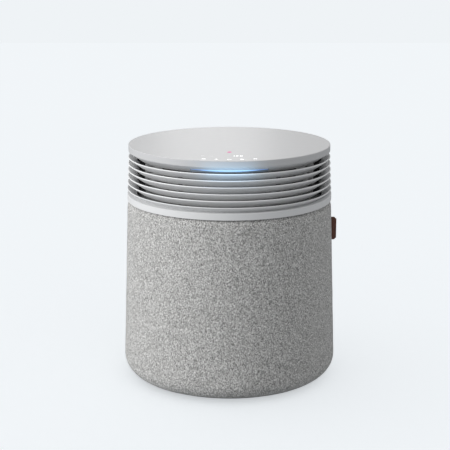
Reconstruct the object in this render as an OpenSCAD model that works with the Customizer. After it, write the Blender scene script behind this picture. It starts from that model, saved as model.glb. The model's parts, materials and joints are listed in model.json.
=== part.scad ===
// Drum-shaped room air purifier. A fabric-covered drum holds a round filter, and
// a head that lifts off it holds the fan, the louvre rings and the touch lid.
// Millimetres, +Z up, front towards -Y. The origin is the centre of the foot
// ring's underside, on the floor.

/* [Drum] */
// Height of the rubber foot ring under the drum
foot_h = 3; // [2:0.5:6]
// Width of the rubber foot ring, measured along a radius
foot_w = 12; // [8:1:16]
// Height of the fabric drum, from its underside to the seam below the head
drum_h = 285.5; // [220:0.5:360]
// How far the drum's shoulder stands out past the lid's edge
drum_over = 3.2; // [2:0.1:13]
// How much wider in radius the drum is at its foot than at its shoulder
drum_flare = 8.6; // [0:0.1:12]
// Radius of the drum's rounded top shoulder
shoulder_r = 13; // [11:0.5:20]
// How far round the shoulder the fabric reaches, in degrees
shoulder_wrap = 58; // [50:1:60]
// Radius of the drum's rounded bottom edge
hem_r = 29; // [20:1:36]
// Thickness of the padded fabric sleeve
fabric_t = 5; // [3:0.5:6]
// Wall of the slotted casing under the fabric
casing_t = 2.5; // [2:0.1:3.5]
// Number of curved panels that the casing's wall is made of
panels = 8; // [4:1:8]
// Air slots side by side in each panel
panel_slots = 2; // [2:1:3]
// Number of rows of air slots
slot_rows = 4; // [3:1:5]
// Width of one air slot
slot_w = 30; // [14:1:32]
// Height of the leather tab
tab_h = 37; // [25:1:50]
// How far the leather tab stands out from the fabric
tab_out = 8.2; // [5:0.1:12]
// Thickness of the folded leather tab
tab_t = 3.8; // [2.5:0.1:6]
// Distance from the seam down to the leather tab's top edge
tab_drop = 32.5; // [28:0.5:80]

/* [Filter] */
// Inner radius of the filter's core
core_r = 82; // [80:1:90]
// Wall of the filter's carbon tube
carbon_t = 4; // [2:0.5:8]
// Number of pleats in the filter paper
pleats = 72; // [48:2:96]
// Thickness of the filter paper with its spacers
paper_t = 1.2; // [0.8:0.1:1.6]
// Wall of the filter's end rings
end_t = 3; // [2:0.5:4]
// Height of the foam seal on top of the filter
seal_h = 7.6; // [6:0.1:9]

/* [Head] */
// Radius of the lid
lid_r = 160; // [133:1:192]
// Height of the lid's upright rim
rim_h = 9.9; // [8:0.1:14]
// Thickness of the lid's top
lid_t = 3; // [2:0.1:4]
// Wall of the head's other mouldings
wall = 2.5; // [2:0.1:3]
// Number of louvre rings between the lid and the collar
louvres = 5; // [5:1:5]
// Height from one louvre ring to the next
louvre_pitch = 10.1; // [9.3:0.1:12.2]
// Depth of a louvre ring, measured along a radius
louvre_depth = 18; // [15:0.5:19]
// Slope of the louvre rings, in degrees
louvre_tilt = 35; // [24:1:38]
// Thickness of a louvre ring
louvre_t = 2; // [1.2:0.1:2.4]
// How much each louvre ring stands out past the one above it
louvre_step = 0.46; // [0:0.02:0.6]
// Height of the collar's upright band
band_h = 10.4; // [10:0.1:14]
// Height from the top of the band to the collar's lip
lip_h = 7.8; // [7.2:0.1:9]
// Half the angle that the light bar covers, in degrees
bar_half = 22.3; // [10:0.1:40]
// Height of the light bar's face
bar_h = 3.8; // [3:0.1:5]
// Number of touch keys
keys = 5; // [3:1:5]
// Distance from one touch key to the next
key_pitch = 19.2; // [15:0.1:22]
// Distance from the lid's edge to the middle of the touch keys
key_inset = 12; // [10:0.5:20]

/* [Fan] */
// Number of fan blades
blades = 9; // [7:1:11]
// Radius of the bell mouth's throat
throat_r = 64.5; // [58:0.5:68]
// Radius of the motor's rotor
rotor_r = 38; // [34:0.5:40]
// Radius of the motor's shaft
shaft_r = 2.5; // [2:0.1:3]
// Outer radius of the motor's bearings
bearing_r = 6.5; // [6:0.1:8]
// Height of the motor's bearings
bearing_h = 4; // [3:0.5:5]

/* [Clearances] */
// Gap between the head's parts and the drum's or the filter's
lift_gap = 0.5; // [0.3:0.1:1]
// Gap round a piece that sits in another piece of the same body
fit = 0.15; // [0.05:0.05:0.3]
// Running gap between the shaft and its bearings
run_gap = 0.05; // [0.02:0.01:0.09]
// Gap between the filter and the head's skirt
filter_gap = 3.5; // [2:0.5:6]
// Gap between the fan and the louvre posts
fan_gap = 28; // [20:1:40]
// Gap between the fan's eye and the bell mouth
eye_gap = 1.5; // [1:0.1:3]

/* [Hidden] */
$fn = 96;
eps = 0.01;

// heights, from the floor up
zSeam = foot_h + drum_h;
zBandTop = zSeam + band_h;
zCollarLip = zBandTop + lip_h;
zRim = zCollarLip + (louvres + 1) * louvre_pitch;
zLidTop = zRim + rim_h;
zLidUnder = zLidTop - lid_t;

// drum outline
overSeam = shoulder_r * (1 - sin(shoulder_wrap)) - lift_gap;   // the shoulder's curve, carried on, tops out this far above the seam
drumTopR = lid_r + drum_over;
drumFootR = drumTopR + drum_flare;
shoulderC = [drumTopR - shoulder_r, zSeam + overSeam - shoulder_r];
hemC = [drumFootR - hem_r, foot_h + hem_r];
skinGap = 0.1;
casingWrap = shoulder_wrap + 1.5;
arcSteps = 10;
zCasingFloor = foot_h + fabric_t;
casingFloorR = 104;                   // the casing's floor is open inside this radius
zPanel = hemC[1] + 3;                 // foot of the casing's panels
panelLip = 4;                         // height of the lip inside the panels' foot
hemEndR = hemC[0] - 5.6;
plateR = hemEndR - 0.3;
plate_t = 3;
zPlate = zCasingFloor - plate_t;
footOutR = plateR - 8;
footInR = footOutR - foot_w;
baseScrewR = casingFloorR + 5;
baseScrews = 8;

// collar and deck
bandR = lid_r + 3;
collarLipR = lid_r + (louvres + 1) * louvre_step;
ledgeInR = bandR - 12.5;
deckEdgeR = bandR - wall - 0.7;
deckScrewR = bandR - 7.5;
deckHeadR = 2.6;
zDeck = zSeam + 2.7;
zDeckTop = zDeck + wall;
rimInR = shoulderC[0] - 0.2;
rim_t = 4;
magnetR = 1.7;
magnetH = 3;
magnetAt = rimInR + 0.5 + fit + magnetR;
skirt_t = 3;
skirtR = rimInR - lift_gap;
skirtDrop = 12;
collarWallR = ledgeInR - 2.4;

// louvres, tray and lid
lipDrop = tan(louvre_tilt);
trayR = lid_r - 17;
zTray = zRim - (lid_r - 0.5 - trayR) * lipDrop;
postOutR = collarWallR - 1.6;
postIn = 12;
postInR = postOutR - postIn;
post_w = 7;
posts = 6;
postScrewR = postInR + 3.1;
lidBossR = postInR - 2.5;
lidBosses = [10, 65, 115, 170, 215, 325];
barR = lid_r - 8;
zBar = zRim - (lid_r - 0.5 - barR) * lipDrop - bar_h;
bar_t = 3.8;
barLeg_t = 2;                         // the bar's upper leg, which passes up through the tray's slope
zBarTop = zBar + bar_h + 4;

// filter
filterR = skirtR - skirt_t - filter_gap;
zFilter = zCasingFloor + 8;
zFilterTop = zDeck - 0.3 - seal_h;
spigotR = 60;
capWall = 2.5;
capCup = 12;

// fan and motor
impellerR = postInR - fan_gap;
bellR = 12;
zThroat = zDeck + bellR;
zMotor = zTray - 5;                   // top of the motor's flange
flange_t = 3;
zRotor = zMotor - flange_t - 3.4;     // open end of the rotor cup
rotorH = 33;
zCup = zRotor - rotorH;               // closed end of the rotor cup
cup_t = 2.5;
hub_t = 2.5;
zHub = zCup - 0.3 - hub_t;
zBack = zRotor - 6;
magnet_t = 3;
airGap = 0.4;
statorR = rotor_r - 2 - magnet_t - airGap;
statorH = 20;
zStator = zCup + cup_t + 6.5;
tubeR = bearing_r + 2;
damperR = 6;
damperPcR = 26;
motorScrews = 4;
teeth = 12;

// boards and the inlet
boardH = 1.6;
zTouch = zLidUnder - 3 - boardH;
keyR = lid_r - key_inset;
keyStep = key_pitch / keyR * 180 / PI;
touchW = 116;
touchBack = 78;
lensR = 3;
lensY = -85;
mainW = 110;
mainD = 80;
mainY = 30;
touchScrews = [[-touchW / 2 + 6, -touchBack - 6], [touchW / 2 - 6, -touchBack - 6],
    [-30, -lid_r + 28], [30, -lid_r + 28]];
zMain = zTray + wall + 4;
standInset = 5;
jackR = 4;
jackBore = 2.85;
jackPin = 1;
zJack = zSeam + 5.2;
jackBack = bandR - 12.8;
leadR = 1.8;
zLead = zJack + 2.5;
leadY = postScrewR - 1.1;

function polar(r, a) = [r * cos(a), r * sin(a)];
function arcPoints(c, r, a0, a1, n) = [for (i = [0:n]) c + polar(r, a0 + (a1 - a0) * i / n)];
// the drum's outline, moved in by an inset: down round the shoulder, the side and the hem
function drumLine(inset, wrap) = concat(
    arcPoints(shoulderC, shoulder_r - inset, wrap, 0, arcSteps),
    arcPoints(hemC, hem_r - inset, 0, -90, arcSteps));
function flip(list) = [for (i = [len(list) - 1:-1:0]) list[i]];

module spin() { rotate_extrude($fn = 180) children(); }
module ringOf(n, r, turn = 0) {
    for (i = [0:n - 1]) rotate(turn + i * 360 / n) translate([r, 0, 0]) children();
}
module box(x0, x1, z0, z1) { translate([x0, z0]) square([x1 - x0, z1 - z0]); }
module tube(r0, r1, h) {
    difference() {
        cylinder(r = r1, h = h);
        translate([0, 0, -1]) cylinder(r = r0, h = h + 2);
    }
}
// a pan-head screw with its head's top at z = 0 and its shank pointing down
module screw(r, length, headR, headH) {
    translate([0, 0, -headH]) cylinder(r = headR, h = headH, $fn = 32);
    translate([0, 0, -headH - length]) cylinder(r = r, h = length + eps, $fn = 32);
}
// a flat strip with round ends between two points
module strip(a, b, t) {
    d = b - a;
    n = [-d[1], d[0]] / norm(d) * t / 2;
    polygon([a + n, a - n, b - n, b + n]);
    translate(a) circle(d = t, $fn = 32);
    translate(b) circle(d = t, $fn = 32);
}

// ---- drum ----

module foot_ring() {
    color("dimgray") spin() polygon([
        [footInR + 1, 0], [footOutR - 1, 0], [footOutR, 1], [footOutR, zPlate],
        [footInR, zPlate], [footInR, 1]]);
}

module base_plate() {
    color("gray") difference() {
        spin() {
            box(0, plateR, zPlate, zCasingFloor);
            box(plateR - 2.5, plateR, foot_h, zPlate + eps);
            box(footOutR + fit, footOutR + fit + 2, foot_h - 0.5, zPlate + eps);
            box(footInR - fit - 2, footInR - fit, foot_h - 0.5, zPlate + eps);
        }
        ringOf(baseScrews, baseScrewR) translate([0, 0, zPlate - 1]) cylinder(r = 1.7, h = plate_t + 2, $fn = 32);
    }
}

module base_screws() {
    color("silver") ringOf(baseScrews, baseScrewR)
        translate([0, 0, zPlate - 2]) rotate([180, 0, 0]) screw(1.25, 8, 2.8, 2);
}

// the casing's outline, from the shoulder down to the floor, as thick as its wall
module casingLine() {
    polygon(concat(
        drumLine(fabric_t, casingWrap),
        [[casingFloorR, zCasingFloor], [casingFloorR, zCasingFloor + casing_t]],
        flip(drumLine(fabric_t + casing_t, casingWrap))));
}
// the inner part of that wall, up to a height: the lip that the panels stand round
module casingLip(inset, h) {
    intersection() {
        polygon(concat(drumLine(fabric_t + inset, casingWrap), flip(drumLine(fabric_t + casing_t + eps, casingWrap))));
        box(0, drumFootR, zPanel - 1, zPanel + h);
    }
}

module casing() {
    color("lightgray") difference() {
        union() {
            spin() intersection() {
                casingLine();
                union() {
                    box(0, drumFootR, 0, zPanel);
                    casingLip(casing_t / 2 + fit, panelLip);
                }
            }
            ringOf(baseScrews, baseScrewR) translate([0, 0, zCasingFloor]) cylinder(r = 3.6, h = 7, $fn = 32);
        }
        ringOf(baseScrews, baseScrewR) translate([0, 0, zCasingFloor - 1])
            cylinder(r = 1.25, h = 7.5, $fn = 32);
    }
}

module panelSlot(h) {
    translate([0, -slot_w / 2, 0]) cube([hem_r + 40, slot_w, h]);
}

module casing_panels() {
    columns = panels * panel_slots;
    slotZ0 = zPanel + panelLip + 1;
    rowH = (shoulderC[1] - 6 - slotZ0) / slot_rows;
    color("gainsboro") difference() {
        spin() difference() {
            intersection() {
                casingLine();
                box(0, drumFootR, zPanel + fit, zSeam);
            }
            casingLip(casing_t / 2, panelLip + fit);
        }
        for (row = [0:slot_rows - 1])
            translate([0, 0, slotZ0 + row * rowH])
                ringOf(columns, filterR) panelSlot(rowH - 9);
        ringOf(panels, filterR, 180 / columns) translate([0, -fit, zPanel - 1]) cube([hem_r + 40, 2 * fit, drum_h]);
    }
}

module drum_rim() {
    top = zSeam - lift_gap;
    edge = shoulderC + polar(shoulder_r - 0.6, casingWrap);
    color("gainsboro") difference() {
        spin() polygon([
            [rimInR, zSeam - 20], [rimInR + rim_t, zSeam - 20],
            [rimInR + rim_t, zSeam - 9],
            shoulderC + polar(shoulder_r - fabric_t - casing_t, casingWrap),
            edge, [edge[0] - 0.3, top], [rimInR + 1, top], [rimInR, top - 1]]);
        rotate(100) translate([magnetAt, 0, top - magnetH]) cylinder(r = magnetR + fit, h = magnetH + 1, $fn = 32);
    }
}

module interlock_magnet() {
    color("silver") rotate(100) translate([magnetAt, 0, zSeam - lift_gap - magnetH])
        cylinder(r = magnetR, h = magnetH, $fn = 32);
}

module filter_seat() {
    color("gray") spin() {
        box(0, casingFloorR - 1, zCasingFloor, zCasingFloor + wall);
        box(spigotR - 4, spigotR, zCasingFloor, zFilter + capCup - 1);
        box(casingFloorR - 8, casingFloorR - 5, zCasingFloor, zFilter - lift_gap);
    }
}

module fabric_sleeve() {
    color("darkgray") spin() polygon(concat(
        drumLine(0, shoulder_wrap),
        [[hemEndR, foot_h], [hemEndR, zCasingFloor - skinGap]],
        flip(drumLine(fabric_t - skinGap, shoulder_wrap))));
}

module leather_tab() {
    tabTop = zSeam - tab_drop;
    tipX = drumTopR + tab_out + drum_flare * (shoulderC[1] - tabTop + tab_h / 2) / (shoulderC[1] - hemC[1]);
    color("saddlebrown") difference() {
        translate([0, 0, tabTop - tab_h]) linear_extrude(tab_h) {
            translate([drumTopR - 2, -tab_t / 2]) square([tipX - tab_t / 2 - drumTopR + 2, tab_t]);
            translate([tipX - tab_t / 2, 0]) circle(d = tab_t, $fn = 32);
        }
        spin() polygon(concat(drumLine(-skinGap, shoulder_wrap), [[0, foot_h], [0, zSeam]]));
    }
}

// ---- filter ----

module filter_bottom_cap() {
    color("dimgray") spin() polygon([
        [spigotR + 1, zFilter], [filterR, zFilter], [filterR, zFilter + 12], [filterR - capWall, zFilter + 12],
        [filterR - capWall, zFilter + end_t], [spigotR + 1 + capWall, zFilter + end_t],
        [spigotR + 1 + capWall, zFilter + capCup], [spigotR + 1, zFilter + capCup]]);
}

// the round plate glued on the cap's inner wall, over the spigot
module filter_cap_plate() {
    color("dimgray") translate([0, 0, zFilter + capCup]) cylinder(r = spigotR + 1 + capWall, h = capWall);
}

function starPoints(rIn, rOut, n) = [for (i = [0:2 * n - 1]) polar(i % 2 == 0 ? rIn : rOut, i * 180 / n)];

module filter_media() {
    inR = core_r + carbon_t + 3.4;
    outR = filterR - 4.8;
    color("whitesmoke") translate([0, 0, zFilter + end_t + fit])
        linear_extrude(zFilterTop - zFilter - 2 * end_t - 2 * fit) difference() {
            polygon(starPoints(inR, outR, pleats));
            polygon(starPoints(inR - paper_t * 0.6, outR - paper_t * 8, pleats));
        }
}

module filter_carbon() {
    color([0.12, 0.12, 0.13]) translate([0, 0, zFilter + end_t + fit])
        tube(core_r + 2, core_r + 2 + carbon_t, zFilterTop - zFilter - 2 * end_t - 2 * fit);
}

module prefilter_mesh() {
    color("slategray") translate([0, 0, zFilter + end_t + fit])
        tube(filterR - 4.2, filterR - 3, zFilterTop - zFilter - 2 * end_t - 2 * fit);
}

module filter_top_ring() {
    color("dimgray") spin() {
        box(core_r - 0.5, filterR, zFilterTop - end_t, zFilterTop);
        box(filterR - 2.5, filterR, zFilterTop - 12, zFilterTop);
        box(core_r - 0.5, core_r + 1.8, zFilterTop - 12, zFilterTop);
    }
}

module filter_seal() {
    color("darkslategray") translate([0, 0, zFilterTop]) tube(core_r + 14, core_r + 40, seal_h);
}

module filter_strap() {
    color("indianred") translate([0, 0, zFilterTop - 6]) intersection() {
        cylinder(r = core_r - 0.5 - fit, h = 1.5);
        translate([-core_r, -10, 0]) cube([2 * core_r, 20, 1.5]);
    }
}

// ---- head: collar, deck and louvres ----

module jackCut(r) {
    translate([0, jackBack - 0.3, zJack]) rotate([-90, 0, 0]) cylinder(r = r, h = 20, $fn = 48);
}

module leadCut() {
    translate([0, leadY, zLead]) rotate([-90, 0, 0]) cylinder(r = leadR + 0.2, h = jackBack - leadY, $fn = 32);
}

module collar() {
    lip = [collarLipR - louvre_t / 2, zCollarLip];
    color("gainsboro") difference() {
        union() {
            spin() {
                strip(lip, lip - [louvre_depth - 5.2, (louvre_depth - 5.2) * lipDrop], louvre_t);
                polygon([
                    [bandR - 0.6, zSeam], [bandR, zSeam + 0.6], [bandR, zBandTop - 0.6],
                    [bandR - 0.6, zBandTop], [collarWallR, zBandTop], [collarWallR, zBandTop - 2.4],
                    [bandR - 2.4, zBandTop - 2.4], [bandR - 2.4, zSeam]]);
                box(collarWallR, collarWallR + 2.4, zDeckTop, zBandTop - 1);
            }
            ringOf(posts, deckScrewR, 15) translate([0, 0, zDeckTop])
                cylinder(r = 3.4, h = zBandTop - zDeckTop - 1, $fn = 32);
        }
        ringOf(posts, deckScrewR, 15) translate([0, 0, zDeckTop - 1]) cylinder(r = 1.25, h = 4.6, $fn = 32);
        jackCut(jackR + fit);
        leadCut();
    }
}

module fan_deck() {
    color("gray") difference() {
        union() {
            spin() {
                box(throat_r + bellR, deckEdgeR, zDeck, zDeckTop);
                box(skirtR - skirt_t, skirtR, zSeam - skirtDrop, zDeck + eps);
                box(deckScrewR + deckHeadR + 2 * fit, deckEdgeR, zSeam, zDeck + eps);
                intersection() {
                    translate([throat_r + bellR, zDeck + bellR]) difference() {
                        circle(r = bellR, $fn = 96);
                        circle(r = bellR - wall, $fn = 96);
                    }
                    box(throat_r - 1, throat_r + bellR + eps, zDeck - 1, zThroat);
                }
            }
        }
        ringOf(posts, deckScrewR, 15) translate([0, 0, zDeck - 1]) cylinder(r = 1.7, h = wall + 2, $fn = 32);
        ringOf(posts, postScrewR, 0) translate([0, 0, zDeck - 1]) cylinder(r = 1.7, h = wall + 2, $fn = 32);
        jackCut(jackR + 0.3);
    }
}

module deck_screws() {
    color("silver") ringOf(posts, deckScrewR, 15)
        translate([0, 0, zDeck - 1.8]) rotate([180, 0, 0]) screw(1.2, wall + 3.2, deckHeadR, 1.8);
}

module finger_guard() {
    wire = 1.2;
    color([0.2, 0.2, 0.21]) translate([0, 0, zDeck - wire]) {
        rotate_extrude($fn = 96) for (r = [24, 46, 68]) translate([r, 0]) circle(r = wire, $fn = 24);
        rotate_extrude($fn = 96) translate([throat_r + bellR + 8, 0]) circle(r = wire, $fn = 24);
        ringOf(6, 0) rotate([0, 90, 0]) translate([0, 0, 24]) cylinder(r = 1, h = throat_r + bellR - 16, $fn = 24);
    }
}

module louvreStrip(i, grow) {
    lip = [lid_r + i * louvre_step - louvre_t / 2, zRim - i * louvre_pitch];
    strip(lip, lip - [louvre_depth - louvre_t, (louvre_depth - louvre_t) * lipDrop], louvre_t + 2 * grow);
}

module louvre(i) {
    color("gainsboro") spin() louvreStrip(i, 0);
}

module louvre_1() { louvre(1); }
module louvre_2() { louvre(2); }
module louvre_3() { louvre(3); }
module louvre_4() { louvre(4); }
module louvre_5() { louvre(5); }

module louvre_posts() {
    color([0.25, 0.25, 0.26]) difference() {
        ringOf(posts, postInR) translate([0, -post_w / 2, zDeckTop]) cube([postIn, post_w, zTray - zDeckTop]);
        spin() for (i = [1:louvres]) louvreStrip(i, fit);
        ringOf(posts, postScrewR) {
            translate([0, 0, zDeckTop - 1]) cylinder(r = 1.25, h = 13, $fn = 32);
            translate([0, 0, zTray - 12]) cylinder(r = 1.25, h = 13, $fn = 32);
        }
    }
}

module post_screws() {
    color("silver") ringOf(posts, postScrewR) {
        translate([0, 0, zDeck - 1.8]) rotate([180, 0, 0]) screw(1.2, wall + 8, 2.6, 1.8);
        translate([0, 0, zTray + wall + 1.8]) screw(1.2, wall + 8, 2.6, 1.8);
    }
}

// ---- head: tray, lid and lights ----

module tray() {
    upR = lid_r - wall - 0.3;
    slopeT = wall / cos(louvre_tilt);
    color("gray") difference() {
        union() {
            spin() polygon([
                [0, zTray], [trayR, zTray], [lid_r - 0.5, zRim - fit], [upR, zRim - fit],
                [upR, zRim + 5], [upR - wall, zRim + 5],
                [upR - wall, zRim - (lid_r - 0.5 - upR + wall) * lipDrop + slopeT],
                [trayR + (wall - slopeT) / lipDrop, zTray + wall], [0, zTray + wall]]);
            for (x = [-1, 1], y = [0, 1])
                translate([x * (mainW / 2 - standInset), mainY + standInset + y * (mainD - 2 * standInset), zTray])
                    cylinder(r = 3, h = zMain - zTray, $fn = 32);
        }
        translate([0, 0, zTray - 1]) cylinder(r = 14, h = wall + 2);
        ringOf(posts, postScrewR) translate([0, 0, zTray - 1]) cylinder(r = 1.7, h = wall + 2, $fn = 32);
        ringOf(motorScrews, damperPcR, 45) translate([0, 0, zTray - 1]) cylinder(r = 2.2, h = wall + 2, $fn = 32);
        for (a = lidBosses) rotate(a) translate([lidBossR, 0, zTray - 1]) cylinder(r = 1.7, h = wall + 2, $fn = 32);
        for (x = [-1, 1], y = [0, 1])
            translate([x * (mainW / 2 - standInset), mainY + standInset + y * (mainD - 2 * standInset), zTray + 1])
                cylinder(r = 1, h = zMain, $fn = 32);
        rotate(-90 - bar_half - 0.2) rotate_extrude(angle = 2 * bar_half + 0.4, $fn = 180) {
            box(barR - bar_t - fit, lid_r + 2, zTray - 2, zBar + bar_h + fit);
            box(barR - bar_t - fit, barR - bar_t + barLeg_t + fit, zBar, zBarTop + 2);
        }
        translate([0, leadY, zTray - 1]) cylinder(r = 4 + fit, h = wall + 2, $fn = 32);
    }
}

module lid() {
    edge = 0.9;
    color("lightgray") difference() {
        union() {
            spin() {
                difference() {
                    box(0, lid_r, zRim, zLidTop);
                    box(-1, lid_r - wall, zRim - 1, zLidUnder);
                    difference() {
                        box(lid_r - edge, lid_r + 1, zLidTop - edge, zLidTop + 1);
                        translate([lid_r - edge, zLidTop - edge]) circle(r = edge, $fn = 32);
                    }
                }
            }
            for (a = lidBosses) rotate(a) translate([lidBossR, 0, zTray + wall])
                cylinder(r = 4, h = zLidUnder + 1 - zTray - wall, $fn = 32);
            for (p = touchScrews) translate([p[0], p[1], zTouch + boardH])
                cylinder(r = 2.6, h = zLidUnder + 1 - zTouch - boardH, $fn = 32);
        }
        for (p = touchScrews) translate([p[0], p[1], zTouch]) cylinder(r = 0.95, h = boardH + 2.8, $fn = 32);
        for (a = lidBosses) rotate(a) translate([lidBossR, 0, zTray + wall - 1]) cylinder(r = 1.25, h = 10, $fn = 32);
        translate([0, lensY, zLidUnder - 1]) cylinder(r = lensR + fit, h = lid_t + 2, $fn = 48);
    }
}

module lid_screws() {
    color("silver") for (a = lidBosses) rotate(a) translate([lidBossR, 0, zTray - 1.8])
        rotate([180, 0, 0]) screw(1.2, wall + 7, 2.6, 1.8);
}

module light_bar() {
    color("lightskyblue") rotate(-90 - bar_half) rotate_extrude(angle = 2 * bar_half, $fn = 180) {
        box(barR - bar_t, barR, zBar, zBar + bar_h);
        box(barR - bar_t, barR - bar_t + barLeg_t, zBar, zBarTop);
    }
}

module light_board() {
    color("seagreen") rotate(-90 - bar_half) rotate_extrude(angle = 2 * bar_half, $fn = 180)
        box(barR - bar_t - 2, barR - bar_t + barLeg_t + 3, zBarTop + 0.3, zBarTop + 0.3 + boardH);
}

// ---- head: boards, sensor and inlet ----

module touch_board() {
    color("seagreen") difference() {
        intersection() {
            translate([0, 0, zTouch]) cylinder(r = lid_r - 8, h = boardH);
            translate([-touchW / 2, -lid_r, zTouch]) cube([touchW, lid_r - touchBack, boardH]);
        }
        translate([0, lensY, zTouch - 1]) cylinder(r = 1, h = boardH + 2, $fn = 32);
        for (p = touchScrews) translate([p[0], p[1], zTouch - 1]) cylinder(r = 1.3, h = boardH + 2, $fn = 32);
    }
}

module touch_screws() {
    color("silver") for (p = touchScrews) translate([p[0], p[1], zTouch - 1.6])
        rotate([180, 0, 0]) screw(0.9, boardH + 2.4, 2.2, 1.6);
}

module touch_springs() {
    color("goldenrod") for (i = [0:keys - 1])
        rotate(-90 + (i - (keys - 1) / 2) * keyStep) translate([keyR, 0, zTouch + boardH])
            tube(3.2, 4, zLidUnder - zTouch - boardH);
}

module display_module() {
    color([0.15, 0.15, 0.16]) translate([2, lensY - 37, zTouch + boardH]) cube([20, 13, 2.6]);
}

module status_lens() {
    color("hotpink") translate([0, lensY, zTouch + boardH]) cylinder(r = lensR, h = zLidTop - zTouch - boardH, $fn = 48);
}

module main_board() {
    color("seagreen") difference() {
        translate([-mainW / 2, mainY, zMain]) cube([mainW, mainD, boardH]);
        for (x = [-1, 1], y = [0, 1])
            translate([x * (mainW / 2 - standInset), mainY + standInset + y * (mainD - 2 * standInset), zMain - 1])
                cylinder(r = 1.3, h = boardH + 2, $fn = 32);
    }
}

module board_parts() {
    z = zMain + boardH;
    color("black") {
        translate([-30, mainY + 22, z]) cube([14, 14, 1.4]);
        translate([10, mainY + 50, z]) cube([24, 16, 3]);
        translate([-42, mainY + 50, z]) cube([9, 14, 6]);
        translate([28, mainY + 14, z]) cube([12, 12, 5]);
        for (i = [0:2]) translate([-12 + i * 9, mainY + 62, z]) cylinder(r = 3.6, h = 7, $fn = 32);
    }
}

module board_screws() {
    color("silver") for (x = [-1, 1], y = [0, 1])
        translate([x * (mainW / 2 - standInset), mainY + standInset + y * (mainD - 2 * standInset),
                   zMain + boardH + 1.6]) screw(0.95, boardH + 3, 2.2, 1.6);
}

module dust_sensor() {
    color("dimgray") difference() {
        translate([-118, -24, zTray + wall]) cube([46, 32, 11]);
        translate([-95, -8, zTray + wall + 5]) cylinder(r = 4, h = 8, $fn = 32);
    }
}

module interlock_switch() {
    color("black") rotate(100) translate([postInR + 1, -7, zDeckTop]) cube([7, 14, 5]);
}

module dc_inlet() {
    color([0.1, 0.1, 0.11]) translate([0, jackBack, zJack]) rotate([-90, 0, 0]) {
        difference() {
            union() {
                cylinder(r = jackR, h = bandR - jackBack + 0.2, $fn = 48);
                translate([0, 0, bandR - jackBack + 0.05]) cylinder(r = jackR + 0.9, h = 0.8, $fn = 48);
            }
            translate([0, 0, 3]) cylinder(r = jackBore, h = bandR - jackBack, $fn = 48);
        }
        cylinder(r = jackPin, h = bandR - jackBack - 1, $fn = 32);
    }
}

module power_lead() {
    color("black") {
        translate([0, leadY, zLead]) rotate([-90, 0, 0]) cylinder(r = leadR, h = jackBack - leadY, $fn = 32);
        translate([0, leadY, zLead]) sphere(r = leadR, $fn = 32);
        translate([0, leadY, zLead]) cylinder(r = leadR, h = zTray + wall + 3 - zLead, $fn = 32);
    }
}

module lead_grommet() {
    color("black") translate([0, leadY, zTray - 1]) difference() {
        union() {
            cylinder(r = 4, h = wall + 2, $fn = 32);
            cylinder(r = 5.2, h = 1 - eps, $fn = 32);
            translate([0, 0, wall + 1 + eps]) cylinder(r = 5.2, h = 1, $fn = 32);
        }
        translate([0, 0, -1]) cylinder(r = leadR + 0.1, h = wall + 4, $fn = 32);
    }
}

// ---- motor and fan ----

module motor_base() {
    color("silver") difference() {
        union() {
            translate([0, 0, zMotor - flange_t]) cylinder(r = damperPcR + 7, h = flange_t);
            translate([0, 0, zCup + cup_t + 1]) cylinder(r = tubeR, h = zMotor - zCup - cup_t - 1, $fn = 64);
        }
        translate([0, 0, zCup]) cylinder(r = bearing_r + 0.02, h = zMotor - zCup + 1, $fn = 64);
        ringOf(motorScrews, damperPcR, 45) translate([0, 0, zMotor - flange_t - 1])
            cylinder(r = 2.2, h = flange_t + 2, $fn = 32);
    }
}

module motor_dampers() {
    color("black") ringOf(motorScrews, damperPcR, 45) translate([0, 0, zMotor])
        tube(2.2, damperR, zTray - zMotor, $fn = 32);
}

module motor_screws() {
    color("silver") ringOf(motorScrews, damperPcR, 45) {
        translate([0, 0, zTray + wall + 2.4]) screw(2, wall + zTray - zMotor + flange_t + 2.6, 3.6, 2.4);
        translate([0, 0, zMotor - flange_t - 2.4]) tube(2.05, 3.6, 2.4, $fn = 32);
    }
}

module motor_bearings() {
    color("silver") for (z = [zCup + cup_t + 1, zMotor - bearing_h])
        translate([0, 0, z]) tube(shaft_r + run_gap, bearing_r, bearing_h, $fn = 64);
}

module stator_core() {
    color([0.35, 0.35, 0.37]) translate([0, 0, zStator]) linear_extrude(statorH) {
        difference() {
            circle(r = tubeR + 5, $fn = 64);
            circle(r = tubeR + 0.05, $fn = 64);
        }
        for (i = [0:teeth - 1]) rotate(i * 360 / teeth) {
            translate([tubeR + 4, -1.5]) square([statorR - tubeR - 5.5, 3]);
            intersection() {
                difference() {
                    circle(r = statorR, $fn = 96);
                    circle(r = statorR - 2, $fn = 96);
                }
                translate([statorR - 4, -6.6]) square([5, 13.2]);
            }
        }
    }
}

module stator_coils() {
    coil0 = tubeR + 6;
    coil1 = statorR - 2.6;
    color("peru") for (i = [0:teeth - 1]) rotate(i * 360 / teeth)
        translate([coil0, 0, zStator - 2.4]) difference() {
            translate([0, -2.9, 0]) cube([coil1 - coil0, 5.8, statorH + 4.8]);
            translate([-1, -1.6, 2.3]) cube([coil1 - coil0 + 2, 3.2, statorH + 0.2]);
        }
}

module rotor_cup() {
    color("silver") difference() {
        translate([0, 0, zCup]) cylinder(r = rotor_r, h = rotorH);
        translate([0, 0, zCup + cup_t]) cylinder(r = rotor_r - 2, h = rotorH);
        translate([0, 0, zCup - 1]) cylinder(r = shaft_r + 0.02, h = cup_t + 2, $fn = 64);
        ringOf(4, 22, 45) translate([0, 0, zCup - 1]) cylinder(r = 1.25, h = cup_t + 2, $fn = 32);
    }
}

module rotor_magnets() {
    color([0.3, 0.3, 0.32]) translate([0, 0, zStator - 1])
        tube(rotor_r - 2 - magnet_t, rotor_r - 2.02, statorH + 2);
}

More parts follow.
